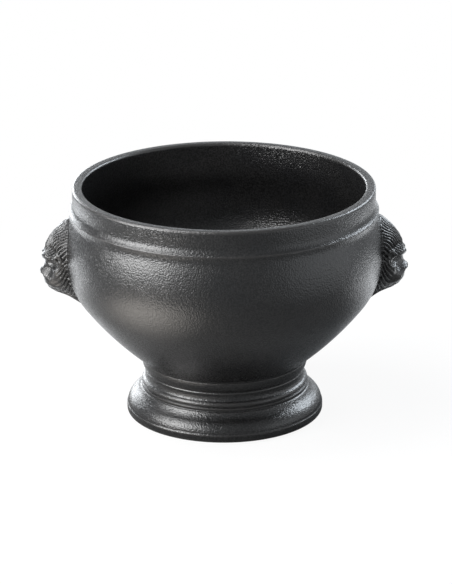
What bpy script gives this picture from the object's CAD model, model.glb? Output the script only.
# Footed soup crock with a lion's head on each side: the dressed model, around the CAD frame.
# Sizes are in millimetres and become metres where a mesh, a material, a lamp or the camera is made.
from math import atan, atan2, cos, hypot, pi, radians, sin, tan

import bpy
import numpy as np
from mathutils import Matrix, Vector


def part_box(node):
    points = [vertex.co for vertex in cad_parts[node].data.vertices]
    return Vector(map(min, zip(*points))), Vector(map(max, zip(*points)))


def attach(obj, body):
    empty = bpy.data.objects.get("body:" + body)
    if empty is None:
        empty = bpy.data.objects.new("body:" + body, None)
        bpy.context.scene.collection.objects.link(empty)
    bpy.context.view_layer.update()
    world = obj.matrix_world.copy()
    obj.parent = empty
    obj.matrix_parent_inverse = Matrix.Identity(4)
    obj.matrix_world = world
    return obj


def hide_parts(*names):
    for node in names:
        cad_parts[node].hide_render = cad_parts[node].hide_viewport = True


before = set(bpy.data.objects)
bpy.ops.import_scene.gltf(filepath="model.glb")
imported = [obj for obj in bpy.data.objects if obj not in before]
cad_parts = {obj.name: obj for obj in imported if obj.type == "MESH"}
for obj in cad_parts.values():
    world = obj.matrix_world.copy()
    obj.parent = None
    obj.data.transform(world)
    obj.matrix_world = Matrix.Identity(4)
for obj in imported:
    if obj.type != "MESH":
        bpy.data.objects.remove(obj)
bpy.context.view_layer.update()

METRES = 0.001

# Bowl, outer wall: radii and heights of the corners that its arcs run through
belly_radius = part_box("bowl_body")[1].x / METRES
rim_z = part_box("bowl_body")[1].z / METRES
collar_radius, collar_z = 36.8, 25.9
haunch_radius, haunch_z = belly_radius - 6.9, 51.0
belly_z = 71.5
shoulder_radius, shoulder_z = belly_radius - 2.0, 86.4
wall_thickness = 4.4

# Rim: a ring that overhangs a little, a hollow flare and a plain band with a flat top
ring_z, ring_top_z, ring_overhang = 88.8, 90.7, 0.2
rim_radius, band_z = belly_radius - 3.6, 94.0
rim_thickness, rim_rounding = 4.3, 1.1

# Foot: radii and heights of its mouldings, from the table up
lip_radius, lip_z, lip_rounding = 42.3, 3.8, 1.1
ovolo_radius, ovolo_z, ovolo_bow = 39.5, 8.2, 0.5
fillet_radius, cavetto_z, cavetto_bow = 36.0, 11.8, 0.4
foot_bead_radius, fillet_z, foot_bead_bow = 35.3, 13.1, 0.7
scotia_radius, foot_bead_z, scotia_bow = 34.5, 15.7, 0.4
collar_root_radius, scotia_z, collar_bow = 34.5, 19.5, -0.35
seat_radius = 35.6
turned_line = 0.35
foot_mouth_radius, mouth_z = 29.5, 17.0
standing_ring_width = 5.0
slip_thickness = 0.5
slip_fillet = 0.45

# Lion's head, outline of the mane: drops are measured down from the crown
crown_z = 87.0
mane_widest_drop, beard_drop = 13.0, 40.0
mane_half_width, mane_reach, face_reach, face_fall = 13.0, 8.2, 5.8, 6.0
tip_half_width, root_sink = 1.8, 3.0
crown_roundness, jaw_roundness, crown_swell, beard_swell = 2, 2.4, 1.6, 3

# Glaze on the clay: how far it softens every turned edge, most of all on the foot, where it runs down
glaze_softening, foot_softening = 0.16, 0.22

# Meshes: most length and most turn between points of an outline, and points round the axis
outline_step, outline_turn = 2.4, radians(8)
turns = 360

# Working outlines: step between points, least turn of an arc, and widths of the softening bell on each side
fine_step, least_turn, bell_reach = 0.04, 1e-9, 4


def ease(share):
    """Smooth step from 0 to 1."""
    share = np.clip(share, 0, 1)
    return share * share * (3 - 2 * share)


# Outlines


def tangent_arc(start, end, tangent):
    """Arc from start, along tangent, to end: it turns by twice the angle from the tangent to the chord."""
    start, chord = np.array(start), np.subtract(end, start)
    along = np.array(tangent) / hypot(*tangent)
    left = np.array([-along[1], along[0]])
    turn = 2 * atan2(left @ chord, along @ chord)
    if abs(turn) < least_turn:
        return straight(start, end)
    radius = (chord @ chord) / (2 * left @ chord)
    count = int(abs(radius * turn) / fine_step) + 2
    angle = np.linspace(0, turn, count)[:, None]
    return start + radius * (np.sin(angle) * along + (1 - np.cos(angle)) * left)


def straight(start, end):
    """Straight run from start to end."""
    count = int(np.hypot(*np.subtract(end, start)) / fine_step) + 2
    return np.linspace(start, end, count)


def bowed(start, end, bow):
    """Arc from start to end that stands off its chord by bow, to the left of the way it runs."""
    across, up = np.subtract(end, start)
    lead = atan2(up, across) + 2 * atan(2 * bow / hypot(across, up))
    return tangent_arc(start, end, (cos(lead), sin(lead)))


def even_points(outline):
    """Points of an outline at even steps along it."""
    joined = np.concatenate([piece[:-1] for piece in outline[:-1]] + [outline[-1]])
    length = np.append(0, np.cumsum(np.hypot(*np.diff(joined, axis=0).T)))
    steps = np.linspace(0, length[-1], int(length[-1] / fine_step))
    return np.stack([np.interp(steps, length, joined[:, axis]) for axis in (0, 1)], axis=1)


def soften(points, closed, width):
    """Outline averaged along itself with a bell curve, as glaze rounds an edge. Poles stay on the axis."""
    reach = int(bell_reach * width / fine_step)
    bell = np.exp(-0.5 * (np.arange(-reach, reach + 1) * fine_step / width) ** 2)
    bell /= bell.sum()
    if closed:
        before, after = points[-reach - 1:-1], points[1:reach + 1]
    else:
        mirrored = points * (-1, 1)
        before, after = mirrored[reach:0:-1], mirrored[-2:-reach - 2:-1]
    padded = np.concatenate([before, points, after])
    return np.stack([np.convolve(padded[:, axis], bell, "valid") for axis in (0, 1)], axis=1)


def thin_out(points):
    """Fewer points of an outline, closest where it turns, and how much it bulges at each of them."""
    step = np.diff(points, axis=0)
    heading = np.unwrap(np.arctan2(step[:, 1], step[:, 0]))
    turn = np.append(0, np.diff(heading))
    effort = np.append(0, np.cumsum(np.hypot(*step.T) / outline_step + np.abs(turn) / outline_turn))
    marks = np.linspace(0, effort[-1], int(effort[-1]) + 2)
    bulge = np.append(turn, 0) / fine_step
    return [np.interp(marks, effort, value) for value in (points[:, 0], points[:, 1], bulge)]


# Meshes


def make_piece(name, points, faces, node, slot, material, **attributes):
    """Smooth mesh of points in millimetres, on the one body, in place of a CAD node."""
    mesh = bpy.data.meshes.new(name)
    mesh.from_pydata(points * METRES, [], faces)
    mesh.polygons.foreach_set("use_smooth", np.ones(len(mesh.polygons), bool))
    for label, values in attributes.items():
        mesh.attributes.new(label, "FLOAT", "POINT").data.foreach_set("value", values.astype(np.float32))
    mesh.materials.append(material)
    piece = bpy.data.objects.new(name, mesh)
    bpy.context.scene.collection.objects.link(piece)
    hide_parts(node)
    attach(piece, "root")


def ring_faces(rings, count, closed):
    """Quads between rings of count points each, the last ring joined to the first where closed."""
    ring = np.arange(rings if closed else rings - 1)[:, None]
    column = np.arange(count)[None, :]
    above, beside = (ring + 1) % rings, (column + 1) % count
    corners = (ring * count + column, ring * count + beside, above * count + beside, above * count + column)
    return np.stack(np.broadcast_arrays(*corners), axis=-1).reshape(-1, 4)


def pole_faces(first, last, count):
    """Triangles from the first ring to the pole numbered first, and from the last ring to the pole last."""
    column = np.arange(count)
    beside = (column + 1) % count
    top = (last // count - 1) * count
    low = np.stack([np.full(count, first), beside, column], axis=1)
    high = np.stack([np.full(count, last), top + column, top + beside], axis=1)
    return np.concatenate([low, high])


def lathe(name, outline, closed, width, node, slot, material):
    """Outline, softened over a width, turned round the axis: point (r, z) goes to (r cos t, r sin t, z)."""
    radius, height, bulge = thin_out(soften(even_points(outline), closed, width))
    angle = np.linspace(0, 2 * pi, turns, endpoint=False)
    if closed:
        radius, height, bulge = radius[:-1], height[:-1], bulge[:-1]
    else:
        poles = np.array([(0, 0, height[0]), (0, 0, height[-1])])
        pole_bulge = bulge[[0, -1]]
        radius, height, bulge = radius[1:-1], height[1:-1], bulge[1:-1]
    grid = np.stack(np.broadcast_arrays(radius[:, None] * np.cos(angle), radius[:, None] * np.sin(angle),
                                        height[:, None]), axis=-1).reshape(-1, 3)
    faces = ring_faces(len(radius), turns, closed).tolist()
    edge = np.repeat(bulge, turns)
    if not closed:
        first = len(grid)
        grid = np.concatenate([grid, poles])
        edge = np.append(edge, pole_bulge)
        faces += pole_faces(first, first + 1, turns).tolist()
    make_piece(name, grid, faces, node, slot, material, edge=edge)


# Bowl


# How far the wall leans out where its arcs meet, and the arc of its round bottom
haunch_lean = 2 * atan2(belly_radius - haunch_radius, belly_z - haunch_z)
collar_lean = 2 * atan2(haunch_radius - collar_radius, haunch_z - collar_z) - haunch_lean
shoulder_lean = 2 * atan2(belly_radius - shoulder_radius, shoulder_z - belly_z)
bottom_arc = collar_radius / cos(collar_lean)
bottom_z = collar_z + bottom_arc * (sin(collar_lean) - 1)


def wall_point(radius, height, lean, grow):
    """Corner of the wall, moved outward by grow along its normal, which dips by lean."""
    return (radius + grow * cos(lean), height - grow * sin(lean))


def wall_outline(grow):
    """Wall moved outward by grow: round bottom, underside arc and belly arc, from the pole to the belly."""
    collar = wall_point(collar_radius, collar_z, collar_lean, grow)
    haunch = wall_point(haunch_radius, haunch_z, haunch_lean, grow)
    return [tangent_arc((0, bottom_z - grow), collar, (1, 0)),
            tangent_arc(collar, haunch, (sin(collar_lean), cos(collar_lean))),
            tangent_arc(haunch, (belly_radius + grow, belly_z), (sin(haunch_lean), cos(haunch_lean)))]


def backwards(outline):
    """Outline run the other way."""
    return [piece[::-1] for piece in outline[::-1]]


def bowl_outline():
    """Bowl from the pole under it, up the wall, over the rim and down inside to the pole of its well."""
    mouth_radius = rim_radius - rim_thickness
    ring_radius = shoulder_radius - (ring_z - shoulder_z) * tan(shoulder_lean / 2)
    inner_belly = belly_radius - wall_thickness
    bend = ((inner_belly + mouth_radius) / 2, (belly_z + band_z) / 2)
    rounding_z = rim_z - rim_rounding
    outside = wall_outline(0) + [
        tangent_arc((belly_radius, belly_z), (shoulder_radius, shoulder_z), (0, 1)),
        tangent_arc((ring_radius, ring_z), (shoulder_radius, shoulder_z), (0, -1))[::-1],
        straight((ring_radius, ring_z), (ring_radius + ring_overhang, ring_top_z)),
        tangent_arc((rim_radius, band_z), (ring_radius + ring_overhang, ring_top_z), (0, -1))[::-1],
        straight((rim_radius, band_z), (rim_radius, rounding_z)),
        tangent_arc((rim_radius, rounding_z), (rim_radius - rim_rounding, rim_z), (0, 1)),
        straight((rim_radius - rim_rounding, rim_z), (mouth_radius + rim_rounding, rim_z)),
        tangent_arc((mouth_radius + rim_rounding, rim_z), (mouth_radius, rounding_z), (-1, 0))]
    inside = [straight((mouth_radius, rounding_z), (mouth_radius, band_z)),
              tangent_arc((mouth_radius, band_z), bend, (0, -1)),
              tangent_arc((inner_belly, belly_z), bend, (0, 1))[::-1]]
    return outside + inside + backwards(wall_outline(-wall_thickness))


# Foot


def seat_height(radius, grow):
    """Height of the bowl's round bottom at a radius, moved outward by grow."""
    return bottom_z + bottom_arc - np.sqrt((bottom_arc + grow) ** 2 - radius**2)


def seat_arc(start_radius, end_radius, grow):
    """Stretch of the bowl's round bottom, moved outward by grow, from one radius to another."""
    count = int(abs(end_radius - start_radius) / fine_step) + 2
    radius = np.linspace(start_radius, end_radius, count)
    return np.stack([radius, seat_height(radius, grow)], axis=1)


def foot_outline():
    """Foot from its standing ring up the mouldings, in along the seat of the bowl and down its hollow."""
    standing_edge = (lip_radius - standing_ring_width, 0)
    lip_under, lip_low = (lip_radius - lip_rounding, 0), (lip_radius, lip_rounding)
    lip_high = (lip_radius, lip_z - turned_line)
    ovolo_low = (lip_radius - turned_line, lip_z + turned_line / 2)
    cavetto_low = (ovolo_radius, ovolo_z)
    cavetto_high = (fillet_radius + turned_line, cavetto_z - turned_line)
    fillet_low, fillet_high = (fillet_radius, cavetto_z + turned_line), (fillet_radius, fillet_z)
    bead_low = (foot_bead_radius, fillet_z)
    scotia_low, scotia_high = (scotia_radius, foot_bead_z), (collar_root_radius, scotia_z - turned_line)
    collar_low = (collar_root_radius, scotia_z + turned_line)
    seat_edge = (seat_radius, seat_height(seat_radius, slip_thickness))
    seat_mouth = (foot_mouth_radius, seat_height(foot_mouth_radius, slip_thickness))
    hollow_top = (foot_mouth_radius, mouth_z)
    return [straight(standing_edge, lip_under),
            tangent_arc(lip_under, lip_low, (1, 0)),
            straight(lip_low, lip_high),
            bowed(lip_high, ovolo_low, turned_line / 2),
            bowed(ovolo_low, cavetto_low, -ovolo_bow),
            bowed(cavetto_low, cavetto_high, cavetto_bow),
            bowed(cavetto_high, fillet_low, turned_line),
            straight(fillet_low, fillet_high),
            straight(fillet_high, bead_low),
            bowed(bead_low, scotia_low, -foot_bead_bow),
            bowed(scotia_low, scotia_high, scotia_bow),
            bowed(scotia_high, collar_low, turned_line),
            bowed(collar_low, seat_edge, collar_bow),
            seat_arc(seat_radius, foot_mouth_radius, slip_thickness),
            straight(seat_mouth, hollow_top),
            straight(hollow_top, standing_edge)]


def foot_slip_outline():
    """Slip between bowl and foot: along the seat, up a hollow fillet outside, and back along the bowl."""
    outer_low = (seat_radius, seat_height(seat_radius, slip_thickness))
    outer_high = (seat_radius + slip_fillet, seat_height(seat_radius + slip_fillet, 0))
    inner_low = (foot_mouth_radius, seat_height(foot_mouth_radius, slip_thickness))
    inner_high = (foot_mouth_radius, seat_height(foot_mouth_radius, 0))
    return [seat_arc(foot_mouth_radius, seat_radius, slip_thickness),
            bowed(outer_low, outer_high, slip_fillet / 4),
            seat_arc(seat_radius + slip_fillet, foot_mouth_radius, 0),
            straight(inner_high, inner_low)]


# Lion's head


# Face, swelling by swelling: side, drop, half width, half height, rise (or sinking) and roll
face_swellings = {
    "muzzle": (0.0, 27.4, 6.0, 6.0, 4.3, 0),
    "nose": (0.0, 22.9, 3.2, 1.7, 2.0, 0),
    "nose wing": (2.5, 23.6, 1.3, 1.0, 0.6, 24),
    "nose bridge": (0.0, 18.8, 3.3, 4.4, 2.7, 0),
    "brow": (3.7, 15.9, 2.6, 1.9, 2.2, 16),
    "brow crease": (0.0, 14.8, 0.8, 2.4, -0.6, 0),
    "brow ridge": (7.3, 13.8, 3.2, 0.9, 2.0, 18),
    "temple hollow": (7.8, 11.6, 3.2, 1.0, -1.1, 20),
    "eye socket": (5.3, 18.6, 2.6, 1.4, -1.7, 22),
    "eye": (5.2, 18.7, 1.3, 0.8, 1.4, 22),
    "lower lid": (5.4, 20.3, 2.2, 0.7, 0.5, 22),
    "cheek": (7.6, 22.6, 2.6, 3.0, 1.2, 12),
    "whisker pad": (3.9, 26.0, 2.8, 3.2, 2.1, -22),
    "lower lip": (0.0, 29.8, 3.8, 1.3, 1.5, 0),
    "philtrum": (0.0, 27.0, 0.7, 1.9, -1.2, 0),
    "nostril": (1.7, 24.3, 0.9, 0.6, -1.0, -24),
    "chin": (0.0, 32.0, 3.0, 1.5, 1.9, 0),
    "ear": (11.4, 14.4, 1.7, 2.2, 1.3, 8),
    "ear hollow": (11.8, 14.7, 0.7, 1.1, -0.9, 8),
    "pupil": (4.9, 18.7, 0.42, 0.42, -0.35, 0),
    "upper lid": (5.2, 17.7, 2.1, 0.45, 0.45, 22),
}
swelling_power = 1.4

# Mouth: a line that bows under each whisker pad and turns up at its corners
mouth_drop, mouth_bow, mouth_bow_turns = 29.4, 0.7, 0.75
mouth_half_width, mouth_corner, mouth_end_power = 5.4, 1.2, 6
mouth_line, mouth_depth = 0.5, 0.9

# Mane: locks fanned round the face, a ruff, raked hair along the jaw, a beard and a ridge round each ear
lock_count, lock_height, lock_sway, lock_waves = 66, 1.05, 4.2, 3.6
lock_unlike, lock_beat = 0.3, 5.3
ruff_height, ruff_width, ruff_start = 0.8, 0.22, 3.0
fan_drop, face_centre_drop, face_half_width, face_rise, face_drop = 22.0, 18.0, 8.6, 5.0, 12.5
jaw_drop, jaw_run = 16.0, 4.0
band_count, band_height, band_rake = 5.0, 0.42, 2.6
beard_start, beard_run, beard_root, beard_count, beard_height = 30.0, 3.0, 26.0, 30, 0.45
sway_run_in = 2.0
ear_side, ear_drop, ear_half_width, ear_half_height = 11.6, 14.6, 1.5, 2.0
ear_ridge, ear_ridge_width, ear_clear = 0.4, 0.3, 0.7
lock_start, lock_fade_in, lock_fade_out, lock_fade_side = 0.95, 0.35, 0.12, 0.16
lock_sharpness, lock_mean = 0.8, 0.62

# Meshes of the heads and their slip: rows, columns in front, columns behind and columns of slip
head_rows, head_columns, back_columns, slip_columns = 250, 340, 24, 40

# Points along the middle of a head, by which its rows are spaced
middle_points = 4000


def wall_radius(height):
    """Radius of the bowl's outer wall at a height, on its shoulder arc, belly arc or underside arc."""
    inset = np.where(height > belly_z, belly_radius - shoulder_radius, belly_radius - haunch_radius)
    rise = np.where(height > belly_z, shoulder_z - belly_z, belly_z - haunch_z)
    arc = (inset**2 + rise**2) / (2 * inset)
    centre_radius, centre_z = belly_radius - arc, belly_z
    under_chord = hypot(haunch_radius - collar_radius, haunch_z - collar_z)
    under_arc = under_chord / (2 * sin((collar_lean - haunch_lean) / 2))
    under = height < haunch_z
    arc = np.where(under, under_arc, arc)
    centre_radius = np.where(under, haunch_radius - under_arc * cos(haunch_lean), centre_radius)
    centre_z = np.where(under, haunch_z + under_arc * sin(haunch_lean), centre_z)
    return centre_radius + np.sqrt(arc**2 - (height - centre_z) ** 2)


def mane_section(drop):
    """Half width of the mane, its reach out of the wall and its share of the way to the outline's end."""
    below = drop - mane_widest_drop
    share = np.where(below > 0, below / (beard_drop - mane_widest_drop), -below / mane_widest_drop)
    roundness = np.where(below > 0, jaw_roundness, crown_roundness)
    half_width = mane_half_width * np.sqrt(np.clip(1 - share**roundness, 0, 1))
    swell = np.where(below > 0, beard_swell, crown_swell)
    reach = (mane_reach + (face_reach - mane_reach) * ease(below / face_fall)) * (1 - share**swell)
    return np.maximum(half_width, tip_half_width), reach, share


def face_height(side, drop):
    """Sum of the face's bell-shaped swellings, less the mouth's line."""
    height = np.zeros(np.broadcast(side, drop).shape)
    for place, low, half_width, half_height, rise, roll in face_swellings.values():
        for way in (-1, 1) if place else (1,):
            tilt = radians(way * roll)
            across = (side - way * place) * cos(tilt) + (drop - low) * sin(tilt)
            down = (drop - low) * cos(tilt) - (side - way * place) * sin(tilt)
            spread = (across / half_width) ** 2 + (down / half_height) ** 2
            height += rise * np.exp(-(spread**swelling_power))
    along = np.abs(side) / mouth_half_width
    bow = mouth_drop - mouth_bow * np.cos(2 * pi * mouth_bow_turns * np.minimum(along, mouth_corner))
    return height - mouth_depth * np.exp(-(((drop - bow) / mouth_line) ** 2) - along**mouth_end_power)


def lock_ripple(side, drop):
    """Height of the mane: fanned locks, raked hair along the jaw, a beard, a ruff and a ridge round each ear.

    A lock follows the size of a cosine of its place in the fan, so that the valleys are sharp. The jaw's hair
    and the beard follow plain cosines, and the ruff and the ridges follow bell curves.
    """
    face_half_height = np.where(drop < face_centre_drop, face_rise, face_drop)
    spread = np.hypot(side / face_half_width, (drop - face_centre_drop) / face_half_height)
    turn = np.arctan2(side, fan_drop - drop)
    phase = lock_count * turn + lock_sway * side / np.hypot(side, sway_run_in) * np.sin(lock_waves * spread)
    unlike = 1 - lock_unlike * np.cos(phase / lock_beat + lock_waves * spread) ** 2
    lock = lock_height * unlike * (np.abs(np.cos(phase / 2)) ** lock_sharpness - lock_mean)
    band = band_height * np.cos(2 * pi * band_count * (spread - 1) + band_rake * drop)
    beard = beard_height * np.cos(beard_count * np.arctan2(side, drop - beard_root))
    tuft = band + (beard - band) * ease((drop - beard_start) / beard_run)
    ripple = lock + (tuft - lock) * ease((drop - jaw_drop) / jaw_run)
    ear = np.hypot((np.abs(side) - ear_side) / ear_half_width, (drop - ear_drop) / ear_half_height)
    ripple = ripple * ease((spread - lock_start) / lock_fade_in) * ease(ear - ear_clear)
    ruff = ruff_height * np.exp(-(((spread - 1) / ruff_width) ** 2))
    ruff = ruff * ease((drop - face_centre_drop) / ruff_start)
    return ripple + ruff + ear_ridge * np.exp(-(((ear - 1) / ear_ridge_width) ** 2))


def head_point(angle, drop):
    """Point of the head at an angle of its oval section and a drop, and how high the mane ripples there.

    The face and the mane raise the oval along its own normal.
    """
    half_width, reach, share = mane_section(drop)
    root = wall_radius(crown_z - drop) - root_sink
    depth = reach + root_sink
    swing = angle / (pi / 2)
    girth_half = pi / 4 * (mane_half_width + face_reach + root_sink)
    side = swing * girth_half * np.sqrt(half_width / mane_half_width)
    run_out = ease((1 - share) / lock_fade_out) * ease((1 - np.abs(swing)) / lock_fade_side)
    ripple = lock_ripple(side, drop) * run_out
    raised = face_height(side, drop) + ripple
    normal_x, normal_y = np.cos(angle) / depth, np.sin(angle) / half_width
    normal_length = np.hypot(normal_x, normal_y)
    x = root + depth * np.cos(angle) + raised * normal_x / normal_length
    y = half_width * np.sin(angle) + raised * normal_y / normal_length
    return x, y, ripple


def halve(outside, low, high, rounds=40):
    """Where a test that holds at low ends on the way to high: whole arrays, halved round by round."""
    for _ in range(rounds):
        middle = (low + high) / 2
        held = outside(middle)
        low, high = np.where(held, middle, low), np.where(held, high, middle)
    return (low + high) / 2


def stands_off(angle, drop):
    """True where the head's skin lies outside the slip on the wall."""
    x, y, _ = head_point(angle, drop)
    return np.hypot(x, y) > wall_radius(crown_z - drop) + slip_thickness


def head_drops():
    """Drops from the crown's tip to the beard's tip, evenly spaced along the middle of the head."""
    top = halve(lambda drop: stands_off(0.0, drop), mane_widest_drop, 0.0)
    tip = halve(lambda drop: stands_off(0.0, drop), mane_widest_drop, beard_drop)
    fine = np.linspace(top, tip, middle_points)
    x = head_point(0.0, fine)[0]
    length = np.append(0, np.cumsum(np.hypot(np.diff(x), np.diff(fine))))
    return np.interp(np.linspace(0, length[-1], head_rows + 2), length, fine)


def head_edges(drops):
    """Angle at which the head's skin meets the slip, for each drop."""
    return halve(lambda angle: stands_off(angle, drops), np.zeros(len(drops)), np.full(len(drops), pi / 2))


def on_wall(swing, height, grow):
    """Point on the bowl's wall moved outward by grow, at an angle round the axis."""
    radius = wall_radius(height) + grow
    return np.stack(np.broadcast_arrays(radius * np.cos(swing), radius * np.sin(swing), height), axis=-1)


def turned_about(points, half_turns):
    """Points turned about the axis by half turns."""
    way = 1 - 2 * (half_turns % 2)
    return points * (way, way, 1)


def lion_head(name, half_turns, node, slot, material):
    """Head: at each drop a ring, the relief in front and the slip's face behind, with a pole at each tip."""
    drops = head_drops()
    rows = drops[1:-1]
    edge = head_edges(rows)
    share = np.linspace(-1, 1, head_columns)
    x, y, ripple = head_point(edge[:, None] * share, rows[:, None])
    height = crown_z - rows
    front = np.stack(np.broadcast_arrays(x, y, height[:, None]), axis=-1)
    swing = np.arctan2(y[:, -1], x[:, -1])
    back_share = np.linspace(1, -1, back_columns + 2)[1:-1]
    behind = on_wall(swing[:, None] * back_share, height[:, None], slip_thickness)
    rings = np.concatenate([front, behind], axis=1)
    count = head_columns + back_columns
    poles = on_wall(0.0, crown_z - drops[[0, -1]], slip_thickness)
    points = np.concatenate([rings[::-1].reshape(-1, 3), poles[::-1]])
    lock = np.concatenate([ripple, np.zeros((head_rows, back_columns))], axis=1)
    first = head_rows * count
    faces = ring_faces(head_rows, count, False).tolist() + pole_faces(first, first + 1, count).tolist()
    raised = np.append(lock[::-1].ravel(), (0, 0))
    make_piece(name, turned_about(points, half_turns), faces, node, slot, material, edge=raised)


def head_slip(name, half_turns, node, slot, material):
    """Slip under a head: a patch of the head's outline, with a hollow fillet that runs out on the wall."""
    drops = head_drops()
    rows = drops[1:-1:2]
    x, y, _ = head_point(head_edges(rows), rows)
    swing = np.arctan2(y, x)[:, None]
    height = (crown_z - rows)[:, None]
    share = np.linspace(-1, 1, slip_columns)
    flare = slip_fillet / belly_radius
    front = on_wall(swing * share, height, slip_thickness)
    # A third of the flare goes with a third of the thickness, so the fillet is hollow
    middle = on_wall((swing + flare / 3) * np.array([1, -1]), height, slip_thickness / 3)
    behind = on_wall((swing + flare) * share[::-1], height, 0.0)
    rings = np.concatenate([front, middle[:, :1], behind, middle[:, 1:]], axis=1)
    count = rings.shape[1]
    spread = np.array([slip_fillet, -slip_fillet])
    poles = on_wall(0.0, crown_z - drops[[0, -1]] + spread, 0.0)
    points = np.concatenate([rings[::-1].reshape(-1, 3), poles[::-1]])
    first = len(rows) * count
    faces = ring_faces(len(rows), count, False).tolist() + pole_faces(first, first + 1, count).tolist()
    flat = np.zeros(len(points))
    make_piece(name, turned_about(points, half_turns), faces, node, slot, material, edge=flat)


# Finishes


# Glaze: how often its grain and clouds repeat in a metre, its colours, how rough it is, and its clear coat
grain_repeats, grain_low, grain_high, grain_depth = 1550, 0.35, 0.65, 0.2
cloud_repeats, cloud_low, cloud_high = 60, 0.3, 0.7
charcoal, pale_charcoal = (0.0120, 0.0120, 0.0128, 1), (0.0170, 0.0166, 0.0166, 1)
pit_colour, pit_share = (0.001, 0.001, 0.001, 1), 0.9
thin_colour, thin_start, thin_end = (0.020, 0.019, 0.0185, 1), 0.15, 0.8
pit_roughness, pebble_roughness, body_gloss = 0.45, 0.3, 0.2
coat_roughness, coat_index = 0.15, 1.55

# Bare clay on the standing ring: how high it goes, its speckle, its colours and its ragged glaze line
bare_height = 0.3
speck_repeats, speck_low, speck_high, speck_depth, speck_strength = 1500, 0.35, 0.7, 0.08, 0.4
clay_dark, clay_pale, clay_roughness = (0.16, 0.145, 0.13, 1), (0.25, 0.225, 0.2, 1), 0.85
glaze_line_repeats = 250


class Nodes:
    """Node tree of a material or world, with short ways to add nodes and links."""

    def __init__(self, owner):
        owner.use_nodes = True
        self.tree = owner.node_tree
        self.tree.nodes.clear()

    def add(self, kind, settings=None, **inputs):
        """New node with its settings, and its input sockets, by name or as i and a number, set or linked."""
        node = self.tree.nodes.new(kind)
        for name, value in (settings or {}).items():
            setattr(node, name, value)
        for name, value in inputs.items():
            key = int(name[1:]) if name[1:].isdigit() else name.replace("_", " ")
            socket = node.inputs[key]
            if isinstance(value, bpy.types.NodeSocket):
                self.tree.links.new(value, socket)
            else:
                socket.default_value = value
        return node

    def noise(self, where, repeats, detail):
        """Noise from 0 to 1 that repeats about this often in a metre."""
        return self.add("ShaderNodeTexNoise", Vector=where, Scale=repeats, Detail=detail).outputs["Fac"]

    def ramp(self, value, low, high, to_low=0.0, to_high=1.0):
        """Value taken smoothly from low..high to to_low..to_high."""
        inputs = dict(i0=value, i1=low, i2=high, i3=to_low, i4=to_high)
        return self.add("ShaderNodeMapRange", {"interpolation_type": "SMOOTHSTEP"}, **inputs).outputs[0]

    def math(self, operation, *values):
        """One sum of two or three values."""
        inputs = {f"i{number}": value for number, value in enumerate(values)}
        return self.add("ShaderNodeMath", {"operation": operation}, **inputs).outputs[0]

    def mix(self, share, first, second):
        """Colour between two colours."""
        return self.add("ShaderNodeMix", {"data_type": "RGBA"}, i0=share, i6=first, i7=second).outputs[2]

    def seen(self):
        """1 for light that the camera finds by itself or through glass, and 0 for other light."""
        path = self.add("ShaderNodeLightPath").outputs
        return self.math("MAXIMUM", path["Is Camera Ray"], path["Is Transmission Ray"])


def black_glaze(name, bare_below=None):
    """Satin charcoal glaze with a pebbled grain, black in its pits and paler where it is thin on an edge.

    Where a height is given, the clay below it is bare.
    """
    material = bpy.data.materials.new(name)
    nodes = Nodes(material)
    where = nodes.add("ShaderNodeTexCoord").outputs["Object"]
    grain = nodes.noise(where, grain_repeats, detail=1)
    cloud = nodes.noise(where, cloud_repeats, detail=3)
    edge = nodes.add("ShaderNodeAttribute", {"attribute_name": "edge"}).outputs["Fac"]
    colour = nodes.mix(nodes.ramp(cloud, cloud_low, cloud_high), charcoal, pale_charcoal)
    colour = nodes.mix(nodes.ramp(grain, grain_low, grain_high, pit_share, 0.0), colour, pit_colour)
    colour = nodes.mix(nodes.ramp(edge, thin_start, thin_end), colour, thin_colour)
    roughness = nodes.ramp(grain, grain_low, grain_high, pit_roughness, pebble_roughness)
    bump = nodes.add("ShaderNodeBump", Strength=1.0, Distance=grain_depth * METRES, Height=grain)
    pebbled = bump.outputs["Normal"]
    glaze = nodes.add("ShaderNodeBsdfPrincipled", Base_Color=colour, Roughness=roughness, Normal=pebbled,
                      Specular_IOR_Level=body_gloss, Coat_Weight=1.0, Coat_Roughness=coat_roughness,
                      Coat_IOR=coat_index, Coat_Normal=pebbled)
    shader = glaze.outputs["BSDF"]
    if bare_below is not None:
        shader = bare_clay(nodes, where, shader, bare_below * METRES)
    nodes.add("ShaderNodeOutputMaterial", Surface=shader)
    return material


def bare_clay(nodes, where, glazed, height):
    """Unglazed speckled clay below a height, with a slightly ragged glaze line above it."""
    speck = nodes.noise(where, speck_repeats, detail=3)
    colour = nodes.mix(nodes.ramp(speck, speck_low, speck_high), clay_dark, clay_pale)
    bump = nodes.add("ShaderNodeBump", Strength=speck_strength, Distance=speck_depth * METRES, Height=speck)
    clay = nodes.add("ShaderNodeBsdfPrincipled", Base_Color=colour, Roughness=clay_roughness,
                     Normal=bump.outputs["Normal"])
    level = nodes.add("ShaderNodeSeparateXYZ", Vector=where).outputs["Z"]
    wander = nodes.noise(where, glaze_line_repeats, detail=2)
    glaze_line = nodes.math("MULTIPLY_ADD", wander, height, height / 2)
    covered = nodes.math("GREATER_THAN", level, glaze_line)
    return nodes.add("ShaderNodeMixShader", i0=covered, i1=clay.outputs["BSDF"], i2=glazed).outputs[0]


# Studio


# Camera: its focal length is in pixels of a picture this many pixels tall
picture_height, focal_pixels, sensor = 584, 2917.0, 36.0
camera_distance, camera_elevation, camera_azimuth = 1250.0, radians(19.68), radians(-1.7)
camera_roll = radians(-0.247)
camera_aim_side, camera_aim_height = 0.71, 52.63

# Colours of light
white, warm_white, cool_white, sky_white = (1, 1, 1), (1.0, 0.94, 0.87), (0.94, 0.97, 1.0), (0.86, 0.93, 1.0)

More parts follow.
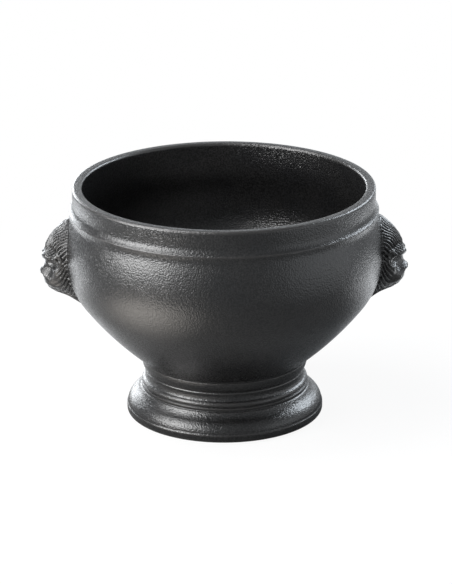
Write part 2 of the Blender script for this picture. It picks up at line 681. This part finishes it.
# Lamps: azimuth and elevation in degrees, distance, width and height, glow with 1 as white, and colour.
# The key is three lamps a millimetre apart, so that it is brightest in its middle.
lamps = {
    "key_softbox_0": (-63, 20, 480, (430, 310), 2.5, white),
    "key_softbox_1": (-63, 20, 481, (330, 310), 2.5, white),
    "key_softbox_2": (-63, 20, 482, (230, 310), 2.5, white),
    "fill_softbox": (-35, 16, 640, (280, 320), 1.2, white),
    "overhead_softbox": (-88, 62, 1150, (800, 700), 5.0, white),
    "left_strip": (-155, 7, 1150, (640, 480), 3.6, cool_white),
    "right_strip": (130, 30, 1150, (650, 600), 4.8, sky_white),
}

# Watts to a square metre of a lamp that looks white
lamp_white = 4

# Room: its least brightness and its tint, then its pale wall and low backdrop, which reflections find
room_level, room_tint = 0.35, (0.93, 0.965, 1, 1)
pale_from, pale_to = 0.18, 1.0
wall_azimuth, wall_start, wall_full = radians(75), 0.72, 0.95
backdrop_start, backdrop_full, backdrop_low, backdrop_high = 0.86, 0.94, 0.05, 0.25

# Table: its size, its paint in reflections, which grows paler to the back, and its paint for the camera
table_radius, table_drop = 330.0, 0.2
front_paint, back_paint, paint_run = (0.2, 0.2, 0.2, 1), (0.45, 0.45, 0.45, 1), 70.0
seen_paint = (0.86, 0.86, 0.86, 1)

# Shadow on the table: the share of plain white by the crock, and the distances over which it grows to 1
plain_share, shadow_start, shadow_end = 0.9, 120.0, 280.0

# Light that the table throws back at the crock: centre, reach, glow and colour, full over a core
table_glows = [
    ((-125, -105, 0), 110, 3.1, warm_white),
    ((205, 95, 0), 130, 1.3, cool_white),
    ((-190, 170, 0), 130, 2.8, cool_white),
]
glow_core = 15.0


def bearing(azimuth, elevation):
    """Unit vector from the crock: azimuth 0 is towards the camera, 90 to its right."""
    return Vector((sin(azimuth) * cos(elevation), -cos(azimuth) * cos(elevation), sin(elevation)))


def aimed(place, back, roll=0.0):
    """Matrix of a camera or lamp at a place, looking against back, rolled about it."""
    right = Vector((0, 0, 1)).cross(back).normalized()
    up = back.cross(right)
    turned_right = cos(roll) * right + sin(roll) * up
    turned_up = cos(roll) * up - sin(roll) * right
    return Matrix.Translation(place) @ Matrix((turned_right, turned_up, back)).transposed().to_4x4()


def make_camera():
    """Camera with a long lens, aimed at the crock from a little above its rim."""
    camera = bpy.data.objects.new("camera", bpy.data.cameras.new("camera"))
    camera.data.sensor_width = sensor
    camera.data.lens = focal_pixels * sensor / picture_height
    back = bearing(camera_azimuth, camera_elevation)
    right = Vector((cos(camera_azimuth), sin(camera_azimuth), 0))
    aim = camera_aim_side * right + Vector((0, 0, camera_aim_height))
    camera.matrix_world = aimed((aim + camera_distance * back) * METRES, back, camera_roll)
    bpy.context.scene.collection.objects.link(camera)
    bpy.context.scene.camera = camera


def softbox(name, azimuth, elevation, distance, size, glow, colour):
    """Flat soft lamp that faces the crock: glow is its brightness, with 1 as white."""
    lamp = bpy.data.lights.new(name, "AREA")
    lamp.shape = "RECTANGLE"
    lamp.size, lamp.size_y = size[0] * METRES, size[1] * METRES
    lamp.energy = lamp_white * glow * lamp.size * lamp.size_y
    lamp.color = colour
    box = bpy.data.objects.new(name, lamp)
    towards = bearing(radians(azimuth), radians(elevation))
    place = Vector((0, 0, camera_aim_height)) + distance * towards
    box.matrix_world = aimed(place * METRES, towards)
    box.visible_camera = False
    bpy.context.scene.collection.objects.link(box)


def make_lamps():
    """Key, fill and overhead softboxes on the left, and a strip behind on either side."""
    for name, setting in lamps.items():
        softbox(name, *setting)


def make_world():
    """Room that is white to the camera and dim elsewhere, with a pale wall and backdrop in reflections."""
    world = bpy.data.worlds.new("studio")
    bpy.context.scene.world = world
    nodes = Nodes(world)
    way = nodes.add("ShaderNodeTexCoord").outputs["Generated"]
    facing = nodes.add("ShaderNodeVectorMath", {"operation": "DOT_PRODUCT"}, i0=way,
                       i1=bearing(wall_azimuth, 0)).outputs["Value"]
    wall = nodes.ramp(facing, wall_start, wall_full)
    axes = nodes.add("ShaderNodeSeparateXYZ", Vector=way).outputs
    behind = nodes.ramp(axes["Y"], backdrop_start, backdrop_full)
    low = nodes.ramp(axes["Z"], backdrop_low, backdrop_high, 1.0, 0.0)
    backdrop = nodes.math("MULTIPLY", behind, low)
    pale = nodes.ramp(nodes.math("MAXIMUM", wall, backdrop), 0.0, 1.0, pale_from, pale_to)
    reflected = nodes.add("ShaderNodeLightPath").outputs["Is Glossy Ray"]
    seen = nodes.seen()
    strength = nodes.math("MAXIMUM", seen, nodes.math("MULTIPLY", reflected, pale))
    strength = nodes.math("MAXIMUM", strength, room_level)
    tint = nodes.mix(seen, room_tint, (*white, 1))
    light = nodes.add("ShaderNodeBackground", Color=tint, Strength=strength).outputs[0]
    nodes.add("ShaderNodeOutputWorld", Surface=light)


def table_white():
    """Paint that is white to the camera, but for a faint shadow, and throws patches of light at the crock."""
    material = bpy.data.materials.new("table_white")
    nodes = Nodes(material)
    seen = nodes.seen()
    place = nodes.add("ShaderNodeTexCoord").outputs["Object"]
    depth = nodes.add("ShaderNodeSeparateXYZ", Vector=place).outputs["Y"]
    grey = nodes.mix(nodes.ramp(depth, 0.0, paint_run * METRES), front_paint, back_paint)
    paint = nodes.add("ShaderNodeBsdfDiffuse", Color=nodes.mix(seen, grey, seen_paint)).outputs[0]
    plain = nodes.add("ShaderNodeEmission", Color=(*white, 1), Strength=1.0).outputs[0]
    away = nodes.add("ShaderNodeVectorMath", {"operation": "LENGTH"}, i0=place).outputs["Value"]
    share = nodes.ramp(away, shadow_start * METRES, shadow_end * METRES, plain_share, 1.0)
    share = nodes.math("MULTIPLY", seen, share)
    shader = nodes.add("ShaderNodeMixShader", i0=share, i1=paint, i2=plain).outputs[0]
    for centre, reach, glow, colour in table_glows:
        spread = nodes.add("ShaderNodeVectorMath", {"operation": "DISTANCE"}, i0=place,
                           i1=Vector(centre) * METRES).outputs["Value"]
        strength = nodes.ramp(spread, glow_core * METRES, reach * METRES, glow, 0.0)
        strength = nodes.math("MULTIPLY", strength, nodes.math("SUBTRACT", 1.0, seen))
        bounce = nodes.add("ShaderNodeEmission", Color=(*colour, 1), Strength=strength).outputs[0]
        shader = nodes.add("ShaderNodeAddShader", i0=shader, i1=bounce).outputs[0]
    nodes.add("ShaderNodeOutputMaterial", Surface=shader)
    return material


def make_floor():
    """Plain round table under the crock."""
    angle = np.linspace(0, 2 * pi, turns, endpoint=False)
    edge = table_radius * METRES * np.stack([np.cos(angle), np.sin(angle), 0 * angle], axis=1)
    mesh = bpy.data.meshes.new("table")
    mesh.from_pydata(edge, [], [range(turns)])
    mesh.materials.append(table_white())
    table = bpy.data.objects.new("table", mesh)
    table.location.z = -table_drop * METRES
    bpy.context.scene.collection.objects.link(table)


glaze = black_glaze("pebbled_black_glaze")
foot_glaze = black_glaze("foot_black_glaze", bare_below=bare_height)
lathe("bowl", bowl_outline(), False, glaze_softening, "bowl_body", "black_glaze", glaze)
lathe("foot", foot_outline(), True, foot_softening, "pedestal_foot", "black_glaze", foot_glaze)
lathe("foot_slip", foot_slip_outline(), True, glaze_softening, "foot_slip_joint", "luting_slip", glaze)
for side, half_turns in (("right", 0), ("left", 1)):
    lion_head(f"{side}_head", half_turns, f"{side}_lion_head", "black_glaze", glaze)
    head_slip(f"{side}_head_slip", half_turns, f"{side}_head_slip_joint", "luting_slip", glaze)
make_camera()
make_lamps()
make_world()
make_floor()
bpy.context.scene.view_settings.view_transform = "Standard"
